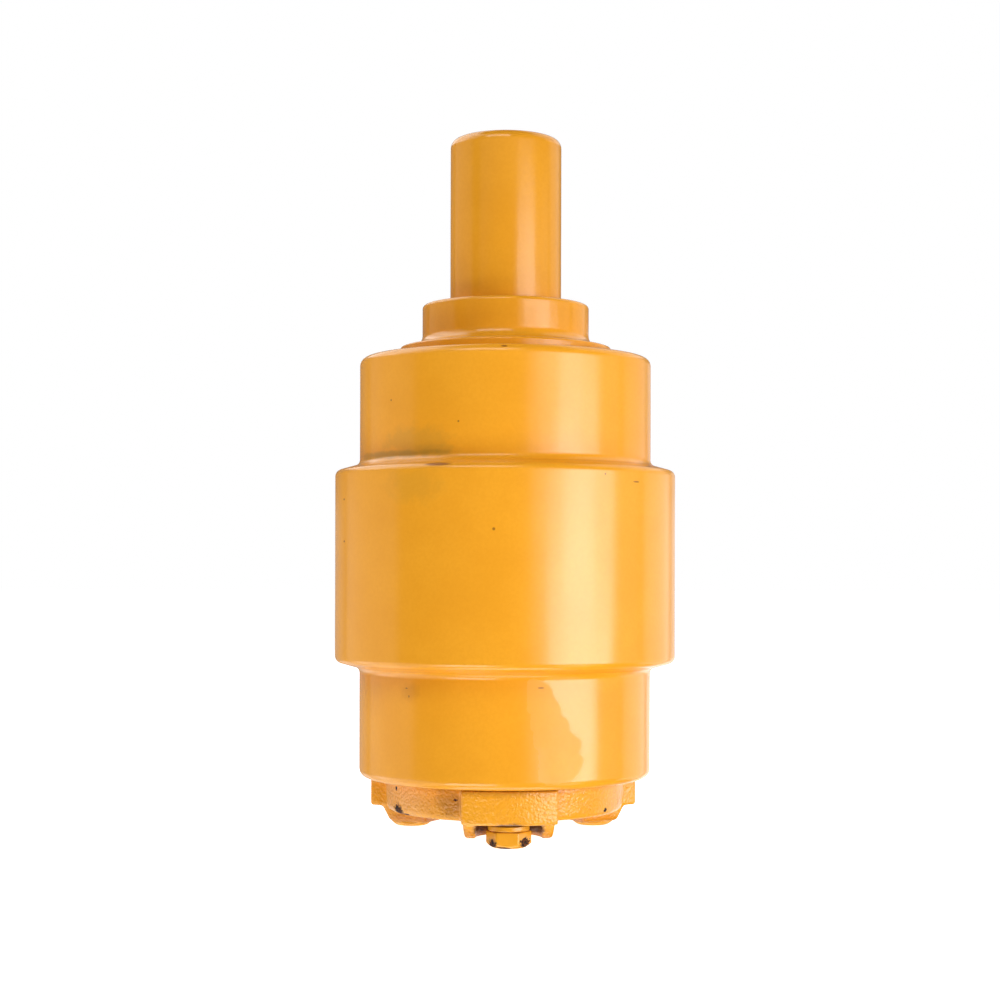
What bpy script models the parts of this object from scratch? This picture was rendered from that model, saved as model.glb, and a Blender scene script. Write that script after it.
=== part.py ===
"""Track roller of the carrier form: a flanged roller that turns on a shaft held at one end.

Metres, +Z up. Z is the shaft axis, and z = 0 is the plane of the three cover bolt heads that the
roller stands on. The free end of the shaft, which a bracket clamps, points up. Pieces that touch
or turn in each other keep a seam between their faces.
"""

import math

import bmesh
import bpy
from mathutils import Matrix, Vector

PARTS = "track_roller"
CUTTERS = "cutters"

SEAM = 0.0003
EDGE = 0.0005
BROAD_EDGE = 0.0008
OVERCUT = 0.002
CHAMFER_STEPS = 1
FILLET_STEPS = 3
SHARP_ANGLE = math.radians(35)
SEGMENTS = 40
INNER_SEGMENTS = 32
FASTENER_SEGMENTS = 24

# Shaft
SHAFT_R = 0.025
SHAFT_TOP_Z = 0.312
SHAFT_LOW_Z = 0.048
SHAFT_TOP_EDGE = 0.004
SHAFT_LOW_EDGE = 0.001
SHOULDER_R = 0.028
GALLERY_R = 0.004
GALLERY_TOP_Z = 0.123
CROSS_HOLE_R = 0.003
CROSS_HOLE_Z = 0.119
CROSS_HOLE_SIDES = 12
CENTRE_HOLE_R = 0.0045
CENTRE_DRILL_R = 0.0015
CENTRE_HOLE_DEPTH = 0.009

# Roller shell
SHELL_TOP_Z = 0.213
SHELL_EDGE = 0.0037
TREAD_R = 0.0655
FLANGE_R = 0.0765
FLANGE_Z = 0.1195
FLANGE_RIM_HALF = 0.0425
FLANGE_ROOT_HALF = 0.0456
FLANGE_RIM_EDGE = 0.003
FLANGE_ROOT_FILLET = 0.003
COVER_BORE_R = 0.039
BUSH_BORE_R = 0.0303
RESERVOIR_R = 0.0335
RESERVOIR_CHAMFER = 0.002
COLLAR_BORE_R = 0.0485
SEAL_FLOOR_Z = 0.192

# Bushes, each a flanged sleeve
SLEEVE_R = 0.030
SLEEVE_LENGTH = 0.040
SLEEVE_BORE_R = SHAFT_R + SEAM
BUSH_FLANGE_R = 0.036
BUSH_FLANGE_T = 0.005
UPPER_FLANGE_Z = 0.190

# Floating seal: two rings that meet at CONTACT_Z, each on its own toric
CONTACT_Z = 0.203
SEAL_RING_BORE_R = 0.030
SEAL_RING_LIP_R = 0.038
SEAL_RING_TOE_R = 0.034
SEAL_RING_HEEL_R = 0.0348
SEAL_RING_HEEL_DROP = 0.0008
SEAL_RING_LIP_T = 0.0029
SEAL_RING_LENGTH = 0.0085
TORIC_R = 0.0377
TORIC_SECTION_R = 0.003
TORIC_FROM_CONTACT = 0.0066
TORIC_SECTION_STEPS = 10
SEAT_FLOOR_R = 0.0411
SEAT_MOUTH_R = 0.0425
SEAT_STRAIGHT_FROM_CONTACT = 0.0065
SHELL_SEAT_FROM_CONTACT = 0.001
COLLAR_SEAT_FROM_CONTACT = 0.0015

# Seal collar on the shaft
COLLAR_TOP_Z = 0.237
COLLAR_HUB_R = 0.0375
COLLAR_FLARE_Z = 0.2195
COLLAR_FLARE_FILLET = 0.0045
COLLAR_SKIRT_R = 0.0475
COLLAR_RIM_Z = 0.2178
COLLAR_CEILING_Z = 0.214
O_RING_SECTION_R = 0.0015
O_RING_SECTION_STEPS = 8
GROOVE_WIDTH = 2 * O_RING_SECTION_R + 2 * SEAM
COLLAR_GROOVE_LOW_Z = 0.220
LOCK_PIN_R = 0.004
LOCK_PIN_Z = 0.2295
LOCK_PIN_INNER_R = 0.0145
LOCK_PIN_OUTER_R = 0.0369

# Hexagon bolts, M10 with 17 mm across flats, and their spring washers
BOLT_R = 0.005
BOLT_HEAD_FLATS = 0.017
BOLT_HEAD_H = 0.007
BOLT_HEAD_FACE_R = 0.0081
BOLT_HEAD_CHAMFER = 0.0012
THREAD_CHAMFER = 0.0008
WASHER_BORE_R = 0.0053
WASHER_R = 0.0090
WASHER_T = 0.0022
WASHER_GAP = 0.0012
WASHER_GAP_SLANT = math.radians(20)
WASHER_TURN = math.radians(126)
TAPPED_R = BOLT_R + SEAM
BOLT_HOLE_R = 0.0055
COVER_BOLT_LENGTH = 0.040
COVER_BOLT_CIRCLE_R = 0.0485
COVER_BOLT_TURN = math.radians(23)
RETAINER_BOLT_LENGTH = 0.025
RETAINER_BOLT_CIRCLE_R = 0.014
TAPPED_SPARE = 0.004

# Cover, a casting with three lobes and a raised pad for each bolt
COVER_TOP_Z = 0.025
COVER_FACE_Z = 0.0107
COVER_R = 0.054
COVER_LOW_R = 0.0528
COVER_EDGE = 0.0025
SPOT_FACE_Z = BOLT_HEAD_H + WASHER_T + 2 * SEAM
SPOT_FACE_R = 0.014
SPOT_FACE_REACH = 0.018
SPOT_FACE_SIDES = 32
SPIGOT_R = COVER_BORE_R - SEAM
SPIGOT_BORE_R = 0.031
CAVITY_FILLET = 0.002
SPIGOT_TOP_Z = 0.031
COVER_CAVITY_Z = 0.017
BOSS_R = 0.014
BOSS_TOP_Z = 0.022
COVER_GROOVE_LOW_Z = 0.0263
LOBE_R = 0.0618
LOBE_INNER_R = 0.040
LOBE_HALF_WIDTH = 0.0205
LOBE_FACE_Z = 0.0104
LOBE_EDGE = 0.0025
PAD_FACE_Z = 0.0035
PAD_ROOT_Z = 0.014
PAD_INNER_R = 0.030
PAD_ROOT_R = 0.055
PAD_FACE_R = 0.0495
PAD_ROOT_HALF_WIDTH = 0.0202
PAD_FACE_HALF_WIDTH = 0.0189
PAD_EDGE = 0.0015

# Retainer plate that holds the roller on the shaft
RETAINER_R = 0.033
RETAINER_T = 0.008
RETAINER_HOLE_R = 0.005

# Oil plug, M18 with a hexagon socket
PLUG_R = 0.009
PLUG_LENGTH = 0.012
PLUG_HEAD_R = 0.0115
PLUG_HEAD_T = 0.004
PLUG_SOCKET_FLATS = 0.010
PLUG_SOCKET_DEPTH = 0.007
GASKET_R = 0.0113
GASKET_T = 0.0015

# Levels that follow from the dimensions above
SHELL_LOW_Z = COVER_TOP_Z + SEAM
UPPER_STEP_Z = UPPER_FLANGE_Z - BUSH_FLANGE_T - SEAM
LOWER_STEP_Z = SHAFT_LOW_Z + BUSH_FLANGE_T + SEAM
UPPER_SLEEVE_END_Z = UPPER_FLANGE_Z - BUSH_FLANGE_T - SLEEVE_LENGTH
LOWER_SLEEVE_END_Z = SHAFT_LOW_Z + BUSH_FLANGE_T + SLEEVE_LENGTH
SHOULDER_LOW_Z = UPPER_FLANGE_Z + SEAM
SHOULDER_TOP_Z = COLLAR_CEILING_Z - SEAM
RETAINER_TOP_Z = SHAFT_LOW_Z - SEAM
RETAINER_LOW_Z = RETAINER_TOP_Z - RETAINER_T
RETAINER_HEAD_Z = RETAINER_LOW_Z - 2 * SEAM - WASHER_T - BOLT_HEAD_H
GASKET_Z = COVER_FACE_Z - SEAM - GASKET_T
PLUG_FACE_Z = GASKET_Z - SEAM - PLUG_HEAD_T
COVER_BOLT_ANGLES = [math.radians(-90 + 120 * i) for i in range(3)]
RETAINER_BOLT_ANGLES = [math.radians(-30 + 120 * i) for i in range(3)]

# The turn that lays a bar along +Y, away from the front lobe
TOWARDS_BACK = (-math.pi / 2, 0, 0)

# Colour, roughness and metallic value of each finish
FINISHES = {
    "paint": ((0.88, 0.37, 0.035), 0.32, 0.0),
    "rough_paint": ((0.88, 0.37, 0.035), 0.42, 0.0),
    "machined_steel": ((0.55, 0.55, 0.57), 0.28, 1.0),
    "bolt_steel": ((0.20, 0.20, 0.21), 0.45, 1.0),
    "bronze": ((0.72, 0.48, 0.20), 0.32, 1.0),
    "seal_iron": ((0.42, 0.42, 0.44), 0.16, 1.0),
    "rubber": ((0.02, 0.02, 0.02), 0.75, 0.0),
    "copper": ((0.80, 0.40, 0.25), 0.30, 1.0),
}


def clear_scene():
    for obj in list(bpy.data.objects):
        bpy.data.objects.remove(obj, do_unlink=True)


def new_collection(name):
    collection = bpy.data.collections.new(name)
    bpy.context.scene.collection.children.link(collection)
    return collection


def new_group(name):
    """An empty on the shaft axis, which a group of pieces is parented to."""
    empty = bpy.data.objects.new(name, None)
    bpy.data.collections[PARTS].objects.link(empty)
    return empty


def new_object(name, bm, collection):
    mesh = bpy.data.meshes.new(name)
    bm.to_mesh(mesh)
    bm.free()
    obj = bpy.data.objects.new(name, mesh)
    bpy.data.collections[collection].objects.link(obj)
    return obj


def new_helper(name, bm):
    """An object that only cuts or joins another one."""
    helper = new_object(name, bm, CUTTERS)
    helper.hide_render = True
    helper.display_type = "WIRE"
    return helper


def fillet(before, corner, after, radius, steps):
    """Points of the arc that rounds the corner between two straight edges."""
    back = (before - corner).normalized()
    on = (after - corner).normalized()
    half = back.angle(on) / 2
    centre = corner + (back + on).normalized() * radius / math.sin(half)
    start = corner + back * radius / math.tan(half) - centre
    end = corner + on * radius / math.tan(half) - centre
    turn = start.angle_signed(end)
    return [centre + Matrix.Rotation(-turn * i / steps, 2) @ start for i in range(steps + 1)]


def outline(corners):
    """Points through corners given as (r, z) or (r, z, fillet radius)."""
    places = [Vector(corner[:2]) for corner in corners]
    points = []
    for i, corner in enumerate(corners):
        if len(corner) == 2:
            points.append(places[i])
            continue
        steps = CHAMFER_STEPS if corner[2] <= BROAD_EDGE else FILLET_STEPS
        points += fillet(places[i - 1], places[i], places[(i + 1) % len(places)], corner[2], steps)
    return points


def turned(name, corners, segments=SEGMENTS, ring=True):
    """A body turned about Z. Its corners run down the outer side, from top to bottom. A ring's
    outline closes on itself, and any other starts and ends on the axis."""
    bm = bmesh.new()
    verts = [bm.verts.new((point.x, 0, point.y)) for point in outline(corners)]
    for first, second in zip(verts, verts[1:]):
        bm.edges.new((first, second))
    if ring:
        bm.edges.new((verts[-1], verts[0]))
    obj = new_object(name, bm, PARTS)
    screw = obj.modifiers.new("turn", "SCREW")
    screw.steps = screw.render_steps = segments
    screw.use_merge_vertices = True
    screw.merge_threshold = 0.00001
    return obj


def round_ring(name, ring_r, z, section_r, steps):
    """A ring of round section, whose circle runs clockwise with r to the right and z up."""
    turns = [-2 * math.pi * i / steps for i in range(steps)]
    circle = [(ring_r + section_r * math.cos(t), z + section_r * math.sin(t)) for t in turns]
    return settle(turned(name, circle, INNER_SEGMENTS), "rubber")


def flat_ring(name, bore_r, outer_r, thickness):
    """A flat ring from z = 0 upwards."""
    corners = [(bore_r, thickness), (outer_r, thickness), (outer_r, 0), (bore_r, 0)]
    return turned(name, corners, FASTENER_SEGMENTS)


def bar(name, radius, low, high, sides=FASTENER_SEGMENTS):
    """A helper: a straight bar along Z, with a corner of its section on +X."""
    bm = bmesh.new()
    bmesh.ops.create_cone(
        bm, cap_ends=True, segments=sides, radius1=radius, radius2=radius, depth=high - low
    )
    bmesh.ops.translate(bm, verts=bm.verts, vec=(0, 0, (low + high) / 2))
    bmesh.ops.rotate(bm, verts=bm.verts, matrix=Matrix.Rotation(math.pi / 2, 3, "Z"))
    return new_helper(name, bm)


def block(name, low, high):
    """A helper: a box between two corners."""
    bm = bmesh.new()
    bmesh.ops.create_cube(bm, size=1)
    for vert in bm.verts:
        vert.co = [(a + b) / 2 + (b - a) * c for a, b, c in zip(low, high, vert.co)]
    return new_helper(name, bm)


def round_edges(obj, width):
    bevel = obj.modifiers.new("edge", "BEVEL")
    bevel.width = width
    bevel.segments = 2


def combine(obj, helper, operation):
    boolean = obj.modifiers.new(helper.name, "BOOLEAN")
    boolean.operation = operation
    boolean.solver = "EXACT"
    boolean.object = helper


def drill(obj, helper, location=(0, 0, 0), rotation=(0, 0, 0)):
    helper.location = location
    helper.rotation_euler = rotation
    combine(obj, helper, "DIFFERENCE")


def drill_circle(obj, radius, low, high, circle_r, angles):
    """Holes along Z, from low to high, one at each angle of a circle."""
    for number, angle in enumerate(angles, 1):
        hole = bar(f"{obj.name}_hole_{number}", radius, low, high)
        drill(obj, hole, around(circle_r, angle, 0))


def settle(obj, finish):
    """Make the modifiers' result the object's own mesh, smooth except at its sharp edges."""
    bpy.context.view_layer.update()
    graph = bpy.context.evaluated_depsgraph_get()
    mesh = bpy.data.meshes.new_from_object(obj.evaluated_get(graph))
    obj.modifiers.clear()
    obj.data = mesh
    mesh.name = obj.name
    mesh.shade_smooth()
    mesh.set_sharp_from_angle(angle=SHARP_ANGLE)
    mesh.materials.append(new_material(obj.name, *FINISHES[finish]))
    return obj


def new_material(name, colour, roughness, metallic):
    material = bpy.data.materials.new(name)
    material.use_nodes = True
    shader = material.node_tree.nodes["Principled BSDF"]
    shader.inputs["Base Color"].default_value = (*colour, 1.0)
    shader.inputs["Roughness"].default_value = roughness
    shader.inputs["Metallic"].default_value = metallic
    return material


def around(radius, angle, z):
    return Vector((radius * math.cos(angle), radius * math.sin(angle), z))


def place(obj, group, location=(0, 0, 0), rotation=(0, 0, 0)):
    obj.parent = group
    obj.location = location
    obj.rotation_euler = rotation


def make_shaft():
    shaft = turned(
        "shaft",
        [
            (0, SHAFT_TOP_Z - CENTRE_HOLE_DEPTH),
            (CENTRE_DRILL_R, SHAFT_TOP_Z - CENTRE_HOLE_DEPTH),
            (CENTRE_DRILL_R, SHAFT_TOP_Z - CENTRE_HOLE_R),
            (CENTRE_HOLE_R, SHAFT_TOP_Z),
            (SHAFT_R, SHAFT_TOP_Z, SHAFT_TOP_EDGE),
            (SHAFT_R, SHOULDER_TOP_Z),
            (SHOULDER_R, SHOULDER_TOP_Z),
            (SHOULDER_R, SHOULDER_LOW_Z),
            (SHAFT_R, SHOULDER_LOW_Z),
            (SHAFT_R, SHAFT_LOW_Z, SHAFT_LOW_EDGE),
            (GALLERY_R, SHAFT_LOW_Z),
            (GALLERY_R, GALLERY_TOP_Z - GALLERY_R / 2),
            (0, GALLERY_TOP_Z),
        ],
        ring=False,
    )
    reach = SHAFT_R + OVERCUT
    cross_hole = bar("cross_hole", CROSS_HOLE_R, -reach, reach, CROSS_HOLE_SIDES)
    drill(shaft, cross_hole, (0, 0, CROSS_HOLE_Z), (0, math.pi / 2, 0))
    pin_hole = bar("shaft_pin_hole", LOCK_PIN_R + SEAM, LOCK_PIN_INNER_R - SEAM, reach)
    drill(shaft, pin_hole, (0, 0, LOCK_PIN_Z), TOWARDS_BACK)
    hole_top = RETAINER_HEAD_Z + BOLT_HEAD_H + RETAINER_BOLT_LENGTH + TAPPED_SPARE
    low = SHAFT_LOW_Z - OVERCUT
    drill_circle(shaft, TAPPED_R, low, hole_top, RETAINER_BOLT_CIRCLE_R, RETAINER_BOLT_ANGLES)
    return settle(shaft, "paint")


def make_collar():
    bore_r = SHAFT_R + SEAM
    groove_r = bore_r + 2 * O_RING_SECTION_R + SEAM
    groove_top_z = COLLAR_GROOVE_LOW_Z + GROOVE_WIDTH
    collar = turned(
        "seal_collar",
        [
            (bore_r, COLLAR_TOP_Z, EDGE),
            (COLLAR_HUB_R, COLLAR_TOP_Z, BROAD_EDGE),
            (COLLAR_HUB_R, COLLAR_FLARE_Z, COLLAR_FLARE_FILLET),
            (COLLAR_SKIRT_R, COLLAR_RIM_Z, BROAD_EDGE),
            (COLLAR_SKIRT_R, CONTACT_Z + COLLAR_SEAT_FROM_CONTACT),
            (SEAT_MOUTH_R, CONTACT_Z + COLLAR_SEAT_FROM_CONTACT),
            (SEAT_FLOOR_R, CONTACT_Z + SEAT_STRAIGHT_FROM_CONTACT),
            (SEAT_FLOOR_R, COLLAR_CEILING_Z),
            (bore_r, COLLAR_CEILING_Z),
            (bore_r, COLLAR_GROOVE_LOW_Z),
            (groove_r, COLLAR_GROOVE_LOW_Z),
            (groove_r, groove_top_z),
            (bore_r, groove_top_z),
        ],
    )
    pin_hole = bar("collar_pin_hole", LOCK_PIN_R + SEAM, SHAFT_R - OVERCUT, COLLAR_HUB_R + OVERCUT)
    drill(collar, pin_hole, (0, 0, LOCK_PIN_Z), TOWARDS_BACK)
    return settle(collar, "paint")


def make_lock_pin():
    """A dowel along Z from its inner end, which goes through the collar into the shaft."""
    length = LOCK_PIN_OUTER_R - LOCK_PIN_INNER_R
    pin = turned(
        "collar_lock_pin",
        [(0, length), (LOCK_PIN_R, length, EDGE), (LOCK_PIN_R, 0, EDGE), (0, 0)],
        FASTENER_SEGMENTS,
        ring=False,
    )
    return settle(pin, "paint")


def make_seal_ring(name, side):
    """One of the two rings that meet at the contact plane: side is 1 above it and -1 below."""
    corners = [
        (SEAL_RING_BORE_R, SEAM / 2),
        (SEAL_RING_LIP_R, SEAM / 2),
        (SEAL_RING_LIP_R, SEAL_RING_LIP_T),
        (SEAL_RING_HEEL_R, SEAL_RING_LIP_T + SEAL_RING_HEEL_DROP),
        (SEAL_RING_TOE_R, SEAL_RING_LENGTH),
        (SEAL_RING_BORE_R, SEAL_RING_LENGTH),
    ]
    corners = [(r, CONTACT_Z + side * distance) for r, distance in corners]
    return settle(turned(name, corners[::-side], INNER_SEGMENTS), "seal_iron")


def make_seal_toric(name, side):
    z = CONTACT_Z + side * TORIC_FROM_CONTACT
    return round_ring(name, TORIC_R, z, TORIC_SECTION_R, TORIC_SECTION_STEPS)


def make_shell():
    shell = turned(
        "roller_shell",
        [
            (COLLAR_BORE_R, SHELL_TOP_Z, BROAD_EDGE),
            (TREAD_R, SHELL_TOP_Z, SHELL_EDGE),
            (TREAD_R, FLANGE_Z + FLANGE_ROOT_HALF, FLANGE_ROOT_FILLET),
            (FLANGE_R, FLANGE_Z + FLANGE_RIM_HALF, FLANGE_RIM_EDGE),
            (FLANGE_R, FLANGE_Z - FLANGE_RIM_HALF, FLANGE_RIM_EDGE),
            (TREAD_R, FLANGE_Z - FLANGE_ROOT_HALF, FLANGE_ROOT_FILLET),
            (TREAD_R, SHELL_LOW_Z, SHELL_EDGE),
            (COVER_BORE_R, SHELL_LOW_Z, EDGE),
            (COVER_BORE_R, LOWER_STEP_Z),
            (BUSH_BORE_R, LOWER_STEP_Z),
            (BUSH_BORE_R, LOWER_SLEEVE_END_Z),
            (RESERVOIR_R, LOWER_SLEEVE_END_Z + RESERVOIR_CHAMFER),
            (RESERVOIR_R, UPPER_SLEEVE_END_Z - RESERVOIR_CHAMFER),
            (BUSH_BORE_R, UPPER_SLEEVE_END_Z),
            (BUSH_BORE_R, UPPER_STEP_Z),
            (BUSH_FLANGE_R + SEAM, UPPER_STEP_Z),
            (BUSH_FLANGE_R + SEAM, SEAL_FLOOR_Z),
            (SEAT_FLOOR_R, SEAL_FLOOR_Z),
            (SEAT_FLOOR_R, CONTACT_Z - SEAT_STRAIGHT_FROM_CONTACT),
            (SEAT_MOUTH_R, CONTACT_Z - SHELL_SEAT_FROM_CONTACT),
            (COLLAR_BORE_R, CONTACT_Z - SHELL_SEAT_FROM_CONTACT),
        ],
    )
    hole_top = BOLT_HEAD_H + COVER_BOLT_LENGTH + TAPPED_SPARE
    low = SHELL_LOW_Z - OVERCUT
    drill_circle(shell, TAPPED_R, low, hole_top, COVER_BOLT_CIRCLE_R, COVER_BOLT_ANGLES)
    return settle(shell, "paint")


def make_bush(name, flange_face_z, side):
    """A flanged sleeve. side is 1 where its flange is at the top, and -1 where it is at the foot."""
    end = BUSH_FLANGE_T + SLEEVE_LENGTH
    corners = [
        (SLEEVE_BORE_R, 0),
        (BUSH_FLANGE_R, 0, EDGE),
        (BUSH_FLANGE_R, BUSH_FLANGE_T, EDGE),
        (SLEEVE_R, BUSH_FLANGE_T),
        (SLEEVE_R, end, BROAD_EDGE),
        (SLEEVE_BORE_R, end),
    ]
    corners = [(r, flange_face_z - side * depth, *edge) for r, depth, *edge in corners]
    return settle(turned(name, corners[::side], INNER_SEGMENTS), "bronze")


def make_retainer_plate():
    plate = turned(
        "retainer_plate",
        [
            (RETAINER_HOLE_R, RETAINER_TOP_Z),
            (RETAINER_R, RETAINER_TOP_Z, BROAD_EDGE),
            (RETAINER_R, RETAINER_LOW_Z, BROAD_EDGE),
            (RETAINER_HOLE_R, RETAINER_LOW_Z),
        ],
        INNER_SEGMENTS,
    )
    low, high = RETAINER_LOW_Z - OVERCUT, RETAINER_TOP_Z + OVERCUT
    drill_circle(plate, BOLT_HOLE_R, low, high, RETAINER_BOLT_CIRCLE_R, RETAINER_BOLT_ANGLES)
    return settle(plate, "machined_steel")


def make_bolt(name, length, finish):
    """A hexagon bolt with the outer face of its head at z = 0 and its thread pointing up."""
    corner_r = BOLT_HEAD_FLATS / math.sqrt(3)
    end = BOLT_HEAD_H + length
    bolt = turned(
        name,
        [
            (0, end),
            (BOLT_R, end, THREAD_CHAMFER),
            (BOLT_R, BOLT_HEAD_H),
            (corner_r + EDGE, BOLT_HEAD_H),
            (corner_r + EDGE, BOLT_HEAD_CHAMFER),
            (BOLT_HEAD_FACE_R, 0),
            (0, 0),
        ],
        FASTENER_SEGMENTS,
        ring=False,
    )
    combine(bolt, bar(f"{name}_hexagon", corner_r, -OVERCUT, end + OVERCUT, 6), "INTERSECT")
    return settle(bolt, finish)


def make_spring_washer(name, finish):
    """A split ring from z = 0 upwards, with its slanting gap on +X."""
    washer = flat_ring(name, WASHER_BORE_R, WASHER_R, WASHER_T)
    low = (WASHER_BORE_R - OVERCUT, -WASHER_GAP / 2, -WASHER_T)
    high = (WASHER_R + OVERCUT, WASHER_GAP / 2, WASHER_T)
    drill(washer, block(f"{name}_gap", low, high), (0, 0, WASHER_T / 2), (WASHER_GAP_SLANT, 0, 0))
    return settle(washer, finish)


def make_lobe(number, angle):
    """One of the cover's lobes, as a helper: a block whose outer face is turned about Z."""
    low = (LOBE_INNER_R, -LOBE_HALF_WIDTH, LOBE_FACE_Z)
    high = (LOBE_R + OVERCUT, LOBE_HALF_WIDTH, COVER_TOP_Z - SEAM)
    lobe = block(f"lobe_{number}", low, high)
    turned_face = bar(f"lobe_{number}_face", LOBE_R, 0, COVER_TOP_Z + OVERCUT, SEGMENTS)
    combine(lobe, turned_face, "INTERSECT")
    round_edges(lobe, LOBE_EDGE)
    lobe.rotation_euler = (0, 0, angle)
    return lobe


def make_pad(number, angle):
    """The raised pad under a lobe, as a helper: a block that narrows towards its face."""
    low = (PAD_INNER_R, -PAD_ROOT_HALF_WIDTH, PAD_FACE_Z)
    high = (PAD_ROOT_R, PAD_ROOT_HALF_WIDTH, PAD_ROOT_Z)
    pad = block(f"pad_{number}", low, high)
    for vert in pad.data.vertices:
        if vert.co.z < PAD_ROOT_Z:
            vert.co.x = min(vert.co.x, PAD_FACE_R)
            vert.co.y = math.copysign(PAD_FACE_HALF_WIDTH, vert.co.y)
    round_edges(pad, PAD_EDGE)
    pad.rotation_euler = (0, 0, angle)
    return pad


def make_spot_face(number, angle):
    """The round pocket of a bolt head, as a helper, stretched to open at the pad's outer end."""
    pocket = bar(f"spot_face_{number}", SPOT_FACE_R, -OVERCUT, SPOT_FACE_Z, SPOT_FACE_SIDES)
    for vert in pocket.data.vertices:
        if vert.co.x > EDGE:
            vert.co.x += SPOT_FACE_REACH
    pocket.location = around(COVER_BOLT_CIRCLE_R, angle, 0)
    pocket.rotation_euler = (0, 0, angle)
    return pocket


def make_cover():
    hole_r = PLUG_R + SEAM
    groove_r = SPIGOT_R - 2 * O_RING_SECTION_R - SEAM
    groove_top_z = COVER_GROOVE_LOW_Z + GROOVE_WIDTH
    cover = turned(
        "cover",
        [
            (hole_r, BOSS_TOP_Z),
            (BOSS_R, BOSS_TOP_Z, BROAD_EDGE),
            (BOSS_R, COVER_CAVITY_Z),
            (SPIGOT_BORE_R, COVER_CAVITY_Z, CAVITY_FILLET),
            (SPIGOT_BORE_R, SPIGOT_TOP_Z),
            (SPIGOT_R, SPIGOT_TOP_Z, EDGE),
            (SPIGOT_R, groove_top_z),
            (groove_r, groove_top_z),
            (groove_r, COVER_GROOVE_LOW_Z),
            (SPIGOT_R, COVER_GROOVE_LOW_Z),
            (SPIGOT_R, COVER_TOP_Z),
            (COVER_R, COVER_TOP_Z, BROAD_EDGE),
            (COVER_LOW_R, COVER_FACE_Z, COVER_EDGE),
            (hole_r, COVER_FACE_Z),
        ],
    )
    for number, angle in enumerate(COVER_BOLT_ANGLES, 1):
        combine(cover, make_lobe(number, angle), "UNION")
        combine(cover, make_pad(number, angle), "UNION")
    for number, angle in enumerate(COVER_BOLT_ANGLES, 1):
        combine(cover, make_spot_face(number, angle), "DIFFERENCE")
    low, high = -OVERCUT, COVER_TOP_Z + OVERCUT
    drill_circle(cover, BOLT_HOLE_R, low, high, COVER_BOLT_CIRCLE_R, COVER_BOLT_ANGLES)
    return settle(cover, "rough_paint")


def make_oil_plug():
    """The plug with the outer face of its head at z = 0 and its thread pointing up."""
    end = PLUG_HEAD_T + PLUG_LENGTH
    plug = turned(
        "oil_plug",
        [
            (0, end),
            (PLUG_R, end, THREAD_CHAMFER),
            (PLUG_R, PLUG_HEAD_T),
            (PLUG_HEAD_R, PLUG_HEAD_T),
            (PLUG_HEAD_R, 0, BROAD_EDGE),
            (0, 0),
        ],
        FASTENER_SEGMENTS,
        ring=False,
    )
    socket_r = PLUG_SOCKET_FLATS / math.sqrt(3)
    drill(plug, bar("plug_socket", socket_r, -OVERCUT, PLUG_SOCKET_DEPTH, 6))
    return settle(plug, "rough_paint")


def place_bolts(prefix, circle_r, angles, head_z, length, turn, finish, group):
    """A bolt and its spring washer at each angle of a bolt circle."""
    for number, angle in enumerate(angles, 1):
        bolt = make_bolt(f"{prefix}_bolt_{number}", length, finish)
        place(bolt, group, around(circle_r, angle, head_z), (0, 0, angle + turn))
        washer = make_spring_washer(f"{prefix}_washer_{number}", finish)
        washer_z = head_z + BOLT_HEAD_H + SEAM
        place(washer, group, around(circle_r, angle, washer_z), (0, 0, angle + WASHER_TURN))


def build_fixed_group():
    """What a bracket holds still: the shaft and what is fastened to it."""
    group = new_group("fixed_group")
    place(make_shaft(), group)
    place(make_collar(), group)
    place(make_lock_pin(), group, (0, LOCK_PIN_INNER_R, LOCK_PIN_Z), TOWARDS_BACK)
    o_ring_r = SHAFT_R + SEAM + O_RING_SECTION_R
    o_ring_z = COLLAR_GROOVE_LOW_Z + GROOVE_WIDTH / 2
    o_ring = round_ring("collar_o_ring", o_ring_r, o_ring_z, O_RING_SECTION_R, O_RING_SECTION_STEPS)
    place(o_ring, group)
    place(make_seal_ring("fixed_seal_ring", 1), group)
    place(make_seal_toric("fixed_seal_toric", 1), group)
    place(make_retainer_plate(), group)
    place_bolts(
        "retainer",
        RETAINER_BOLT_CIRCLE_R,
        RETAINER_BOLT_ANGLES,
        RETAINER_HEAD_Z,
        RETAINER_BOLT_LENGTH,
        0,
        "bolt_steel",
        group,
    )


def build_turning_group():
    """What turns about the shaft: the shell and what is fitted in it or bolted to it."""
    group = new_group("turning_group")
    place(make_shell(), group)
    place(make_bush("upper_bush", UPPER_FLANGE_Z, 1), group)
    place(make_bush("lower_bush", SHAFT_LOW_Z, -1), group)
    place(make_seal_ring("turning_seal_ring", -1), group)
    place(make_seal_toric("turning_seal_toric", -1), group)
    place(make_cover(), group)
    o_ring_r = SPIGOT_R - O_RING_SECTION_R
    o_ring_z = COVER_GROOVE_LOW_Z + GROOVE_WIDTH / 2
    o_ring = round_ring("cover_o_ring", o_ring_r, o_ring_z, O_RING_SECTION_R, O_RING_SECTION_STEPS)
    place(o_ring, group)
    place(make_oil_plug(), group, (0, 0, PLUG_FACE_Z))
    gasket = flat_ring("plug_gasket", PLUG_R + SEAM, GASKET_R, GASKET_T)
    place(settle(gasket, "copper"), group, (0, 0, GASKET_Z))
    place_bolts(
        "cover",
        COVER_BOLT_CIRCLE_R,
        COVER_BOLT_ANGLES,
        0,
        COVER_BOLT_LENGTH,
        COVER_BOLT_TURN,
        "paint",
        group,
    )


clear_scene()
new_collection(PARTS)
new_collection(CUTTERS)
build_fixed_group()
build_turning_group()
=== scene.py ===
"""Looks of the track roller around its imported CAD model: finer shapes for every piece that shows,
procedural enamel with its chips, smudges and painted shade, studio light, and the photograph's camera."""

import math

import bmesh
import bpy
from mathutils import Matrix, Vector, noise


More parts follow.
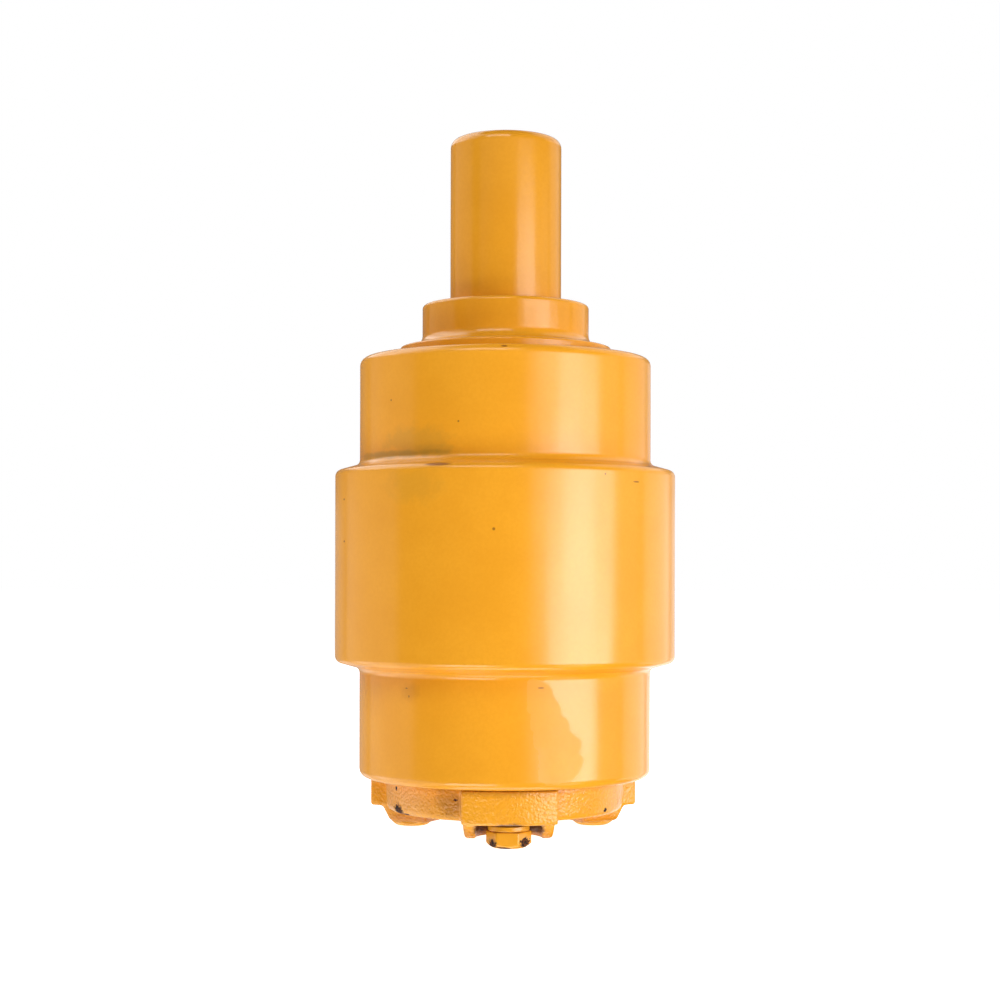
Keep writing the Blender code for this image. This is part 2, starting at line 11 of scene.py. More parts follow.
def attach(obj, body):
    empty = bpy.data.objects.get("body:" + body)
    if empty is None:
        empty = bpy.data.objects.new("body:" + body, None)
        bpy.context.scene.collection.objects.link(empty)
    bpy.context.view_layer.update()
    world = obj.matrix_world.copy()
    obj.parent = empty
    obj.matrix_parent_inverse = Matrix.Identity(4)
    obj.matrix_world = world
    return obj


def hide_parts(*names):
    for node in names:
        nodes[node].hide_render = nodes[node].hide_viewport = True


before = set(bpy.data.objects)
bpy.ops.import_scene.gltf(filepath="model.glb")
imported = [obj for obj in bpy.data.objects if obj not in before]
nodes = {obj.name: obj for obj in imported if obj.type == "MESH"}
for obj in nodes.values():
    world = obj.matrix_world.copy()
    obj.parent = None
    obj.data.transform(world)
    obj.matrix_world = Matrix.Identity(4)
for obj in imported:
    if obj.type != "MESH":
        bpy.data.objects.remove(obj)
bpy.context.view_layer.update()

MM = 0.001

# ---------------------------------------------------------------- sizes, in millimetres, as in the CAD
SEAM = 0.3  # the gap between pieces that touch
SHAFT_R = 25
SHAFT_TOP = 312
SHAFT_LOW = 48
SHOULDER_R = 28
SHOULDER_TOP = 213.7
SHOULDER_LOW = 190.3
COLLAR_R = 37.5
COLLAR_TOP = 237
SKIRT_R = 47.5
LOCK_PIN_Z = 229.5
LOCK_PIN_HOLE_R = 4.3
TREAD_R = 65.5
FLANGE_R = 76.5
FLANGE_Z = 119.5
SHELL_TOP = 213
SHELL_LOW = 25.3
COVER_TOP = 25
COVER_FACE = 10.7
LOBE_R = 61.8

# The fasteners
BOLT_CIRCLE = 48.5
BOLT_ANGLES = (-90, 30, 150)
BOLT_TURN = 23
BOLT_LENGTH = 40
RETAINER_CIRCLE = 14
RETAINER_ANGLES = (-30, 90, 210)
RETAINER_HEAD_Z = 29.9
RETAINER_LENGTH = 25
THREAD_R = 5
THREAD_LENGTH = 22
TAPPED_R = 5.3
HEAD_FLATS = 17
HEAD_HEIGHT = 7
WASHER_Z = HEAD_HEIGHT + SEAM
WASHER_TURN = 126

# ---------------------------------------------------------------- the camera
AXIS_DISTANCE = 858.8
CAMERA_Z = 119
CAMERA_AZIMUTH = -2.2
CAMERA_ROLL = 0.15
CAMERA_SHIFT = (-0.005, 0.0677)
LENS = 68.4
SENSOR = 36

# ---------------------------------------------------------------- the studio
FLOOR_Z = -0.3
FLOOR_HALF = 9000
FLOOR_GLOW = 1.0
SURROUNDING_GLOW = 0.03
WALL_DISTANCE = 1400
BOX_DISTANCE = 1300
BOX_TARGET_Z = 130


# ================================================================ shapes
def arc(before, corner, after, radius, step=7.5):
    """Points of the arc that rounds a corner of a profile."""
    back = (before - corner).normalized()
    on = (after - corner).normalized()
    half = back.angle(on) / 2
    centre = corner + (back + on).normalized() * radius / math.sin(half)
    start = corner + back * radius / math.tan(half) - centre
    end = corner + on * radius / math.tan(half) - centre
    turn = start.angle_signed(end)
    steps = max(2, round(abs(math.degrees(turn)) / step))
    return [centre + Matrix.Rotation(-turn * i / steps, 2) @ start for i in range(steps + 1)]


def profile(corners, longest=4.0, near=0.35):
    """Points (r, z) through corners (r, z) or (r, z, radius), with long runs divided and a point
    close to each end of a run, so that smooth shading bends only where the surface does."""
    places = [Vector(corner[:2]) for corner in corners]
    rough = []
    for i, corner in enumerate(corners):
        if len(corner) == 2:
            rough.append(places[i])
        else:
            after = places[(i + 1) % len(places)]
            rough += arc(places[i - 1], places[i], after, corner[2])
    points = [rough[0]]
    for start, end in zip(rough, rough[1:]):
        length = (end - start).length
        if length > 3 * near:
            way = (end - start) / length
            inner = length - 2 * near
            parts = max(1, math.ceil(inner / longest))
            points += [start + way * (near + inner * i / parts) for i in range(parts + 1)]
        points.append(end)
    return points


def new_piece(name, points, faces):
    """A smooth mesh object from points in millimetres."""
    mesh = bpy.data.meshes.new(name)
    mesh.from_pydata([tuple(c * MM for c in p) for p in points], [], faces)
    mesh.validate()
    mesh.update()
    mesh.shade_smooth()
    obj = bpy.data.objects.new(name, mesh)
    bpy.context.scene.collection.objects.link(obj)
    return obj


def lathe(name, line, segments, radius, ring=False):
    """A mesh of points (r, z) carried round Z, where radius(r, z, angle) is the radius there."""
    points, rows = [], []
    for r0, z in line:
        if r0 < 1e-6:
            rows.append([len(points)] * segments)
            points.append((0, 0, z))
            continue
        rows.append(list(range(len(points), len(points) + segments)))
        for j in range(segments):
            angle = 2 * math.pi * j / segments
            r = radius(r0, z, angle)
            points.append((r * math.cos(angle), r * math.sin(angle), z))
    pairs = list(zip(rows, rows[1:])) + ([(rows[-1], rows[0])] if ring else [])
    faces = []
    for upper, lower in pairs:
        for j in range(segments):
            k = (j + 1) % segments
            face = list(dict.fromkeys([upper[j], lower[j], lower[k], upper[k]]))
            if len(face) > 2:
                faces.append(face)
    return new_piece(name, points, faces)


def turned(name, corners, segments=192, ring=True, shift=None, longest=4.0):
    """A body turned about Z. Its corners run down the outer side. A ring's outline closes on
    itself, and any other starts and ends on the axis. shift(r, z, angle) may move a point's r."""
    rounded_start = len(corners[0]) > 2
    line = profile(corners if rounded_start or not ring else [*corners, corners[0]], longest)
    if ring and rounded_start:
        line.append(line[0])
        if (line[-2] - line[0]).length > 1:
            line = profile([tuple(p) for p in line], longest)
    if ring:
        line = line[:-1]
    return lathe(name, line, segments, lambda r, z, a: r + (shift(r, z, a) if shift else 0), ring)


def moved(obj, location=(0, 0, 0), turn=0, tilt=None):
    """The mesh itself is moved, in millimetres and degrees, and the object stays at the origin."""
    matrix = Matrix.Translation(Vector(location) * MM) @ Matrix.Rotation(math.radians(turn), 4, "Z")
    if tilt:
        matrix = matrix @ Matrix.Rotation(math.radians(tilt[0]), 4, tilt[1])
    obj.data.transform(matrix)
    return obj


def bake_modifiers(obj):
    """The object's modifiers become part of its mesh."""
    bpy.context.view_layer.update()
    graph = bpy.context.evaluated_depsgraph_get()
    mesh = bpy.data.meshes.new_from_object(obj.evaluated_get(graph))
    obj.modifiers.clear()
    obj.data = mesh
    mesh.name = obj.name
    return obj


def boolean(obj, other, operation):
    """Joins or cuts with another object, which is used up."""
    modifier = obj.modifiers.new(other.name, "BOOLEAN")
    modifier.operation = operation
    modifier.solver = "EXACT"
    modifier.object = other
    bake_modifiers(obj)
    bpy.data.objects.remove(other)
    return obj


def bar(name, radius, low, high, sides=64):
    """A round bar along Z."""
    return turned(name, [(0, high), (radius, high), (radius, low), (0, low)], sides, ring=False)


def from_bmesh(name, bm):
    mesh = bpy.data.meshes.new(name)
    bm.to_mesh(mesh)
    bm.free()
    obj = bpy.data.objects.new(name, mesh)
    bpy.context.scene.collection.objects.link(obj)
    return obj


def block(name, low, high):
    """A box between two corners."""
    bm = bmesh.new()
    bmesh.ops.create_cube(bm, size=1)
    for vert in bm.verts:
        vert.co = [((a + b) / 2 + (b - a) * c) * MM for a, b, c in zip(low, high, vert.co)]
    return from_bmesh(name, bm)


def rounded_edges(obj, width, segments):
    """Rounds every edge over a width."""
    bevel = obj.modifiers.new("edge", "BEVEL")
    bevel.width, bevel.segments = width * MM, segments
    return bake_modifiers(obj)


def around(radius, angle, z=0):
    """A point at an angle about Z, in degrees from +X."""
    a = math.radians(angle)
    return Vector((radius * math.cos(a), radius * math.sin(a), z))


def crisp(obj, angle=35):
    """Sharp edges where the surface breaks by more than the angle, and flats that stay flat."""
    obj.data.shade_smooth()
    obj.data.set_sharp_from_angle(angle=math.radians(angle))
    weighted = obj.modifiers.new("flats", "WEIGHTED_NORMAL")
    weighted.keep_sharp = True
    return obj


def wander(seed, size):
    """Smooth noise on a turned surface, from about -1 to 1, as a function of r, z and angle."""

    def value(r, z, angle):
        place = Vector((r * math.cos(angle), r * math.sin(angle), z)) / size
        return noise.noise(place + Vector((seed, seed * 1.7, -seed)))

    return value


# ---------------------------------------------------------------- the pieces
def lock_pin_hole(inner, outer):
    """The cutter for the pin's hole, which runs out towards +Y."""
    return moved(bar("pin_hole", LOCK_PIN_HOLE_R, inner, outer, 48), (0, 0, LOCK_PIN_Z), tilt=(-90, "X"))


def make_shaft():
    wave = wander(3.1, 14)
    gallery_r, gallery_end = 4, 121
    drill_r, drill_end = 1.5, SHAFT_TOP - 9
    cross_r, cross_half, cross_z = 3, 27, 119
    shaft = turned(
        "visual_shaft",
        [
            (0, drill_end),
            (drill_r, drill_end),
            (drill_r, SHAFT_TOP - 4.5),
            (4.5, SHAFT_TOP, 0.3),
            (SHAFT_R, SHAFT_TOP, 4),
            (SHAFT_R, SHOULDER_TOP),
            (SHOULDER_R, SHOULDER_TOP),
            (SHOULDER_R, SHOULDER_LOW),
            (SHAFT_R, SHOULDER_LOW),
            (SHAFT_R, SHAFT_LOW, 1),
            (gallery_r, SHAFT_LOW),
            (gallery_r, gallery_end),
            (0, gallery_end + 2),
        ],
        ring=False,
        shift=lambda r, z, a: 0.02 * wave(r, z, a) if z > 240 and r > 20 else 0,
    )
    cross = bar("cross", cross_r, -cross_half, cross_half, 32)
    boolean(shaft, moved(cross, (0, 0, cross_z), tilt=(90, "Y")), "DIFFERENCE")
    boolean(shaft, lock_pin_hole(14.2, 27), "DIFFERENCE")
    for angle in RETAINER_ANGLES:
        hole = moved(bar("tapped", TAPPED_R, 46, 66, 48), around(RETAINER_CIRCLE, angle))
        boolean(shaft, hole, "DIFFERENCE")
    return crisp(shaft)


def make_collar():
    wave = wander(5.3, 12)
    bore = SHAFT_R + SEAM
    groove_r, groove_low, groove_top = 28.6, 220, 223.6
    collar = turned(
        "visual_seal_collar",
        [
            (bore, groove_low),
            (groove_r, groove_low),
            (groove_r, groove_top),
            (bore, groove_top),
            (bore, COLLAR_TOP, 0.5),
            (COLLAR_R, COLLAR_TOP, 1.6),
            (COLLAR_R, 219.5, 4.5),
            (SKIRT_R, 217.8, 0.9),
            (SKIRT_R, 204.5, 0.4),
            (42.5, 204.5),
            (41.1, 209.5),
            (41.1, SHOULDER_TOP + SEAM),
            (bore, SHOULDER_TOP + SEAM),
        ],
        shift=lambda r, z, a: 0.02 * wave(r, z, a) if r > 36 else 0,
    )
    return crisp(boolean(collar, lock_pin_hole(23, 39.5), "DIFFERENCE"))


def make_lock_pin():
    pin_r, inner, outer = 4, 14.5, 36.9
    pin = turned(
        "visual_collar_lock_pin",
        [(0, outer), (pin_r, outer, 0.5), (pin_r, inner, 0.5), (0, inner)],
        48,
        ring=False,
    )
    return moved(pin, (0, 0, LOCK_PIN_Z), tilt=(-90, "X"))


def make_shell():
    wave, ripple = wander(1.7, 16), wander(8.9, 5)

    def uneven(r, z, angle):
        return 0.035 * wave(r, z, angle) + 0.008 * ripple(r, z, angle) if r > 60 else 0

    rim, root, fillet = 42.5, 45.6, 3
    collar_bore, cover_bore, bush_bore, reservoir = 48.5, 39, 30.3, 33.5
    shell = turned(
        "visual_roller_shell",
        [
            (collar_bore, 202),
            (collar_bore, SHELL_TOP, 0.8),
            (TREAD_R, SHELL_TOP, 3.7),
            (TREAD_R, FLANGE_Z + root, fillet),
            (FLANGE_R, FLANGE_Z + rim, fillet),
            (FLANGE_R, FLANGE_Z - rim, fillet),
            (TREAD_R, FLANGE_Z - root, fillet),
            (TREAD_R, SHELL_LOW, 3.7),
            (cover_bore, SHELL_LOW, 0.5),
            (cover_bore, 53.3),
            (bush_bore, 53.3),
            (bush_bore, 93),
            (reservoir, 95),
            (reservoir, 143),
            (bush_bore, 145),
            (bush_bore, 184.7),
            (36.3, 184.7),
            (36.3, 189.7),
            (41.1, 191.5),
            (41.1, 196.5),
            (42.5, 202),
        ],
        256,
        shift=uneven,
        longest=2.5,
    )
    for angle in BOLT_ANGLES:
        hole = moved(bar("tapped", TAPPED_R, 23, 51, 48), around(BOLT_CIRCLE, angle))
        boolean(shell, hole, "DIFFERENCE")
    return crisp(shell)


def cover_lobe():
    """The block round one bolt, turned to the lobes' radius and flat where it meets the shell."""
    lobe = block("lobe", (40, -20.5, 10.4), (64, 20.5, 32))
    boolean(lobe, bar("turned_face", LOBE_R, 5, 34, 192), "INTERSECT")
    rounded_edges(lobe, 2.5, 4)
    return boolean(lobe, block("above", (20, -40, COVER_TOP), (80, 40, 40)), "DIFFERENCE")


def cover_pad():
    """The low pad round a bolt head, narrower and shorter at its foot. The pocket cuts it into two
    legs."""
    foot_half, foot_end = 18.9, 49.5
    pad = block("pad", (30, -20.2, 3.5), (55, 20.2, 14))
    for vert in pad.data.vertices:
        if vert.co.z < 10 * MM:
            vert.co.x = min(vert.co.x, foot_end * MM)
            vert.co.y = math.copysign(foot_half * MM, vert.co.y)
    return rounded_edges(pad, 1.5, 3)


def bolt_pocket():
    """The cutter for a bolt's pocket, a bar drawn out into a slot that is open outwards."""
    pocket = bar("pocket", 14, -2, 9.8, 64)
    for vert in pocket.data.vertices:
        if vert.co.x > 0.5 * MM:
            vert.co.x += 18 * MM
    return pocket


def roughen(cover):
    """Sand-cast bumps on the outer faces, and none where the cover is machined."""
    bump, cut_back = 0.045, 0.02
    machined_z, machined_r = 24.3, 10.5
    mesh = cover.data
    mesh.shade_smooth()
    normals = [vert.normal.copy() for vert in mesh.vertices]
    for vert, normal in zip(mesh.vertices, normals):
        x, y, z = vert.co / MM
        below, outside = machined_z - z, math.hypot(x, y) - machined_r
        cast = min(1, max(0, below / 0.8)) * min(1, max(0, outside / 1.5))
        if cast <= 0:
            continue
        place = vert.co / MM
        bumps = noise.noise(place / 2.1) + 0.5 * noise.noise(place / 1.1 + Vector((7, 3, 1)))
        vert.co += normal * (bump * bumps * cast - cut_back) * MM
    mesh.update()
    return cover


def make_cover():
    """The casting is joined roughly, then remeshed so that its edges run together as sand-cast
    edges do, and its outer faces are roughened."""
    plug_bore, spigot_r, groove_r = 9.3, 38.7, 35.4
    voxel = 0.6
    cover = turned(
        "visual_cover",
        [
            (plug_bore, 22),
            (14, 22, 0.8),
            (14, 17, 1),
            (31, 17, 2),
            (31, 31),
            (spigot_r, 31, 0.5),
            (spigot_r, 29.9),
            (groove_r, 29.9),
            (groove_r, 26.3),
            (spigot_r, 26.3),
            (spigot_r, COVER_TOP),
            (54, COVER_TOP, 0.6),
            (52.8, COVER_FACE, 2.5),
            (plug_bore, COVER_FACE, 0.4),
        ],
        160,
    )
    for angle in BOLT_ANGLES:
        boolean(cover, moved(cover_lobe(), turn=angle), "UNION")
        boolean(cover, moved(cover_pad(), turn=angle), "UNION")
    for angle in BOLT_ANGLES:
        place = around(BOLT_CIRCLE, angle)
        boolean(cover, moved(bolt_pocket(), place, angle), "DIFFERENCE")
        boolean(cover, moved(bar("hole", 5.5, -2, 27, 48), place), "DIFFERENCE")
    remesh = cover.modifiers.new("cast", "REMESH")
    remesh.mode = "VOXEL"
    remesh.voxel_size = voxel * MM
    soften = cover.modifiers.new("soft", "SMOOTH")
    soften.factor, soften.iterations = 0.5, 4
    return roughen(bake_modifiers(cover))


def hexagon(flats, angle):
    """Distance from the centre to the side of a hexagon with a corner on +X, along an angle."""
    sixth = math.pi / 3
    return flats / 2 / math.cos(angle % sixth - sixth / 2)


def soft_min(a, b, k):
    """The smaller of two lengths, rounded over k where they cross."""
    h = max(0.0, min(1.0, 0.5 + (b - a) / (2 * k)))
    return b + (a - b) * h - k * h * (1 - h)


def make_bolt(name, length):
    """A hexagon bolt, head down, with a chamfered head and a rolled thread."""
    pitch, depth = 1.5, 0.55
    end = HEAD_HEIGHT + length
    thread_start = end - THREAD_LENGTH
    corner_r = HEAD_FLATS / math.sqrt(3)
    face_r, cone_height, edge = 7.2, 2.3, 0.35
    rim_r = 9.4  # the last row of the head's upper face, which follows the hexagon

    def head_radius(z, angle):
        """The hexagon's side, cut by the chamfer's cone and rounded at the lower edge."""
        hexagonal = soft_min(hexagon(HEAD_FLATS, angle), corner_r - 0.1, 0.25)
        cone = face_r + max(0, z) * (corner_r + 0.5 - face_r) / cone_height
        return soft_min(hexagonal, cone, 0.3) - edge * max(0, 1 - z / edge) ** 2

    def radius(r, z, angle):
        if r == rim_r:
            return hexagon(HEAD_FLATS, angle) - 0.25
        if z < HEAD_HEIGHT - 1e-6 and r > 7:
            return head_radius(z, angle)
        if thread_start < z < end - 1 and 4 < r < 6:
            turn = (z / pitch + angle / (2 * math.pi)) % 1
            return r - depth * min(1, 2.2 * abs(turn - 0.5))
        return r

    side_r, row = 9.5, 0.15
    head = [0, 0.08, 0.2, 0.35, 0.5, 0.65, 0.8, 1.0, 1.2, 1.4, 1.6, 1.9, 2.3, 3, 4, 5, 5.8, 6.4, 6.8]
    rows = range(1, int((THREAD_LENGTH - 1) / row))
    line = [(0, end), (4.2, end), (THREAD_R, end - 0.8)]
    line += [(THREAD_R, end - 1 - row * i) for i in rows]
    line += [(THREAD_R, thread_start - 0.3), (THREAD_R, HEAD_HEIGHT + 0.5), (5.4, HEAD_HEIGHT)]
    line += [(8.2, HEAD_HEIGHT), (rim_r, HEAD_HEIGHT - 0.05)]
    line += [(side_r, z) for z in reversed(head)]
    line += [(6.2, 0), (4, 0), (0, 0)]
    return lathe(name, line, 96, radius)


def make_spring_washer(name):
    """A split ring of rounded rectangular section, with its slanting gap on +X."""
    inner, outer, thick, edge = 5.4, 8.95, 2.15, 0.35
    gap, slant = 1.3, 0.36
    section = []
    for cx, cz, start in (
        (outer - edge, thick - edge, 90),
        (outer - edge, edge, 0),
        (inner + edge, edge, -90),
        (inner + edge, thick - edge, -180),
    ):
        for step in range(4):
            a = math.radians(start - 30 * step)
            section.append((cx + edge * math.cos(a), cz + edge * math.sin(a)))
    count, steps = len(section), 120
    points, faces = [], []
    for i in range(steps + 1):
        for r, z in section:
            lean = (z - thick / 2) * slant
            start, end = (gap / 2 + lean) / r, (gap / 2 - lean) / r
            angle = start + (2 * math.pi - start - end) * i / steps
            points.append((r * math.cos(angle), r * math.sin(angle), z))
    for i in range(steps):
        for j in range(count):
            k = (j + 1) % count
            a, b = i * count, (i + 1) * count
            faces.append([a + j, a + k, b + k, b + j])
    faces.append(list(range(count))[::-1])
    faces.append([steps * count + j for j in range(count)])
    washer = new_piece(name, points, faces)
    bm = bmesh.new()
    bm.from_mesh(washer.data)
    bmesh.ops.recalc_face_normals(bm, faces=bm.faces)
    bm.to_mesh(washer.data)
    bm.free()
    return crisp(washer, 50)


def hexagon_socket(flats, depth, middle_z):
    bm = bmesh.new()
    corner_r = flats / math.sqrt(3) * MM
    bmesh.ops.create_cone(
        bm, cap_ends=True, segments=6, radius1=corner_r, radius2=corner_r, depth=depth * MM
    )
    socket = from_bmesh("socket", bm)
    quarter_turn = Matrix.Rotation(math.pi / 2, 4, "Z")
    socket.data.transform(Matrix.Translation((0, 0, middle_z * MM)) @ quarter_turn)
    return socket


def make_oil_plug():
    stem_r, head_r, head_low, head_top, top = 9, 11.5, 4.6, 8.6, 20.6
    plug = turned(
        "visual_oil_plug",
        [
            (0, top),
            (stem_r, top, 0.8),
            (stem_r, head_top),
            (head_r, head_top, 0.3),
            (head_r, head_low, 0.8),
            (0, head_low),
        ],
        96,
        ring=False,
    )
    boolean(plug, hexagon_socket(10, 9, 7.1), "DIFFERENCE")
    bevel = plug.modifiers.new("edge", "BEVEL")
    bevel.width, bevel.segments, bevel.limit_method = 0.25 * MM, 2, "ANGLE"
    bevel.angle_limit = math.radians(40)
    bake_modifiers(plug)
    return crisp(plug)


def make_gasket():
    inner, outer, low, high, edge = 9.3, 11.3, 8.9, 10.4, 0.3
    corners = [(inner, high, edge), (outer, high, edge), (outer, low, edge), (inner, low, edge)]
    return turned("visual_plug_gasket", corners, 96)


# ================================================================ materials
class Nodes:
    """A material's node tree, with short ways to add to it. A value can be a number or the output
    of another node."""

    def __init__(self, name):
        self.material = bpy.data.materials.new(name)
        self.material.use_nodes = True
        self.tree = self.material.node_tree
        self.shader = self.tree.nodes["Principled BSDF"]
        self.place = self.add("ShaderNodeTexCoord").outputs["Object"]

    def add(self, kind, inputs=None, **settings):
        node = self.tree.nodes.new(kind)
        for key, value in settings.items():
            setattr(node, key, value)
        for key, value in (inputs or {}).items():
            self.put(node.inputs[key], value)
        return node

    def put(self, socket, value):
        if isinstance(value, bpy.types.NodeSocket):
            self.tree.links.new(value, socket)
        else:
            socket.default_value = value

    def set(self, **values):
        for key, value in values.items():
            self.put(self.shader.inputs[key.replace("_", " ")], value)

    def math(self, operation, a, b=0.0):
        return self.add("ShaderNodeMath", {0: a, 1: b}, operation=operation).outputs[0]

    def noise(self, size, detail=2.0, roughness=0.5, seed=0.0):
        """Noise of a feature size in millimetres, about 0.5 on average."""
        place = self.add(
            "ShaderNodeVectorMath", {0: self.place, 1: (seed, -seed, seed * 0.7)}, operation="ADD"
        ).outputs[0]
        return self.add(
            "ShaderNodeTexNoise",
            {"Vector": place, "Scale": 1 / (size * MM), "Detail": detail, "Roughness": roughness},
        ).outputs["Fac"]

    def ramp(self, value, low, high, to_low=0.0, to_high=1.0):
        return self.add(
            "ShaderNodeMapRange",
            {"Value": value, "From Min": low, "From Max": high, "To Min": to_low, "To Max": to_high},
            interpolation_type="SMOOTHSTEP",
        ).outputs["Result"]

    def mix(self, factor, a, b):
        node = self.add("ShaderNodeMix", data_type="RGBA")
        self.put(node.inputs["Factor"], factor)
        self.put(node.inputs[6], a)
        self.put(node.inputs[7], b)
        return node.outputs[2]

    def distance(self, centre, sizes):
        """Distance from a point, 1 on an ellipsoid of those half sizes, in millimetres."""
        off = self.add(
            "ShaderNodeVectorMath",
            {0: self.place, 1: tuple(-c * MM for c in centre)},
            operation="ADD",
        ).outputs[0]
        scaled = self.add(
            "ShaderNodeVectorMath", {0: off, 1: tuple(1 / (s * MM) for s in sizes)}, operation="MULTIPLY"
        ).outputs[0]
        return self.add("ShaderNodeVectorMath", {0: scaled}, operation="LENGTH").outputs["Value"]

    def most(self, values):
        result = values[0]
        for value in values[1:]:
            result = self.math("MAXIMUM", result, value)
        return result


GOLD = (0.885, 0.375, 0.022)
GOLD_DEEP = (0.80, 0.315, 0.014)
OLIVE = (0.40, 0.235, 0.035, 1)
IRON = (0.020, 0.015, 0.012, 1)
RUST = (0.20, 0.055, 0.012, 1)
# brown for grime, and for painted shade in the bolt pockets and under the shell's rim
GRIME_AND_SHADE = (0.11, 0.045, 0.018, 1)
# darker orange, painted shade for the pads' feet low on the cover
PAD_FOOT_PAINTED_SHADE = (0.55, 0.17, 0.008, 1)
OVERSPRAY = 0.6  # roughness of the flats that face straight up, where dry spray settles


def side(radius, azimuth, z):
    """A point on a turned side, at an azimuth from the front lobe towards +X."""
    a = math.radians(azimuth)
    return (radius * math.sin(a), -radius * math.cos(a), z)


def enamel(
    name, roughness=0.24, pebble=0.0, shade=1.0, smudges_and_shade=(), specks=(), chips=(), dull=(), grime_and_shade=()
):
    """Golden enamel. Smudges and patches of painted shade are (centre, half sizes, share, tone), dull
    patches (centre, half sizes, roughness), and specks, chips, and grime with painted shade in recesses
    (centre, half sizes), in millimetres. pebble is the height of cast grain in the surface, and shade
    darkens the whole enamel, as painted shade on pieces that get less light."""
    n = Nodes(name)
    # shade scales both tones down, as painted shade for pieces that get less light
    light, deep = ((*(c * shade for c in tone), 1) for tone in (GOLD, GOLD_DEEP))
    colour = n.mix(n.ramp(n.noise(26, 3), 0.35, 0.65, 0, 0.35), light, deep)
    colour = n.mix(n.ramp(n.noise(1.4, 4, seed=16), 0.35, 0.65, 0, 0.25), colour, deep)
    rough = n.math("ADD", roughness - 0.065, n.math("MULTIPLY", n.noise(9, 4, seed=2), 0.08))
    rough = n.math("ADD", rough, n.math("MULTIPLY", n.noise(1.6, 3, seed=17), 0.05))
    facing = n.add("ShaderNodeNewGeometry").outputs["True Normal"]
    upward = n.add("ShaderNodeSeparateXYZ", {0: facing}).outputs[2]
    rough = n.math("MAXIMUM", rough, n.ramp(upward, 0.97, 0.99, 0, OVERSPRAY))
    if dull:
        ragged = n.math("MULTIPLY", n.math("SUBTRACT", n.noise(8, 4, seed=5), 0.5), 0.4)
        flecks = n.ramp(n.noise(2.2, 3, seed=7), 0.35, 0.65, 0.95, 1.05)
        across = n.add("ShaderNodeSeparateXYZ", {0: n.place}).outputs[0]
        for centre, sizes, dullness in dull:
            away = n.math("ADD", n.distance(centre, sizes), ragged)
            patch = n.math("MULTIPLY", n.ramp(away, 1.15, 0.8), dullness)
            left = (centre[0] - sizes[0]) * MM
            patch = n.math("MULTIPLY", patch, n.ramp(across, left, centre[0] * MM))
            rough = n.math("MAXIMUM", rough, n.math("MULTIPLY", patch, flecks))
    # smudges, and patches of painted shade, mixed into the colour
    for number, (centre, sizes, share, tone) in enumerate(smudges_and_shade):
        ragged = n.math("MULTIPLY", n.noise(7, 5, 0.65, seed=number + 11), 1.3)
        away = n.math("ADD", n.distance(centre, sizes), ragged)
        colour = n.mix(n.math("MULTIPLY", n.ramp(away, 1.75, 0.95), share), colour, tone)
    for centre, sizes in specks:
        away = n.distance(centre, sizes)
        colour = n.mix(n.math("MULTIPLY", n.ramp(away, 1.2, 0.5), 0.75), colour, RUST)
    height = n.math("MULTIPLY", n.noise(1.3, 2, seed=3), 0.026)
    if pebble:
        cells = n.add(
            "ShaderNodeTexVoronoi",
            {"Vector": n.place, "Scale": 1 / (1.3 * MM), "Smoothness": 0.6},
            feature="SMOOTH_F1",
        ).outputs["Distance"]
        grain = n.math("MULTIPLY", n.noise(0.8, 3, seed=4), 0.8)
        height = n.math("ADD", height, n.math("MULTIPLY", n.math("SUBTRACT", grain, cells), pebble))
        pits = n.ramp(n.noise(1.6, 3, seed=8), 0.32, 0.24)
        colour = n.mix(n.math("MULTIPLY", pits, 0.4), colour, RUST)
    # grime, and painted shade in the recesses of the bolt pockets
    if grime_and_shade:
        ragged = n.math("MULTIPLY", n.math("SUBTRACT", n.noise(2.5, 4, seed=12), 0.5), 0.25)
        for centre, sizes in grime_and_shade:
            away = n.math("ADD", n.distance(centre, sizes), ragged)
            colour = n.mix(n.ramp(away, 1.06, 0.94, 0, 0.85), colour, GRIME_AND_SHADE)
    if chips:
        ragged = n.math("MULTIPLY", n.math("SUBTRACT", n.noise(1.1, 4, 0.7, seed=6), 0.5), 2.2)
        bare = n.most(
            [
                n.ramp(n.math("ADD", n.distance(centre, sizes), ragged), 1.0, 0.86)
                for centre, sizes in chips
            ]
        )
        metal_tone = n.mix(n.ramp(n.noise(0.9, 3, seed=9), 0.45, 0.65), IRON, RUST)
        colour = n.mix(bare, colour, metal_tone)
        rough = n.math("ADD", rough, n.math("MULTIPLY", bare, 0.4))
        height = n.math("SUBTRACT", height, n.math("MULTIPLY", bare, 0.12))
        n.set(Specular_IOR_Level=n.math("SUBTRACT", 0.5, n.math("MULTIPLY", bare, 0.4)))
    bump = n.add("ShaderNodeBump", {"Strength": 1.0, "Distance": MM, "Height": height})
    n.set(Base_Color=colour, Roughness=rough, Normal=bump.outputs[0])
    return n.material


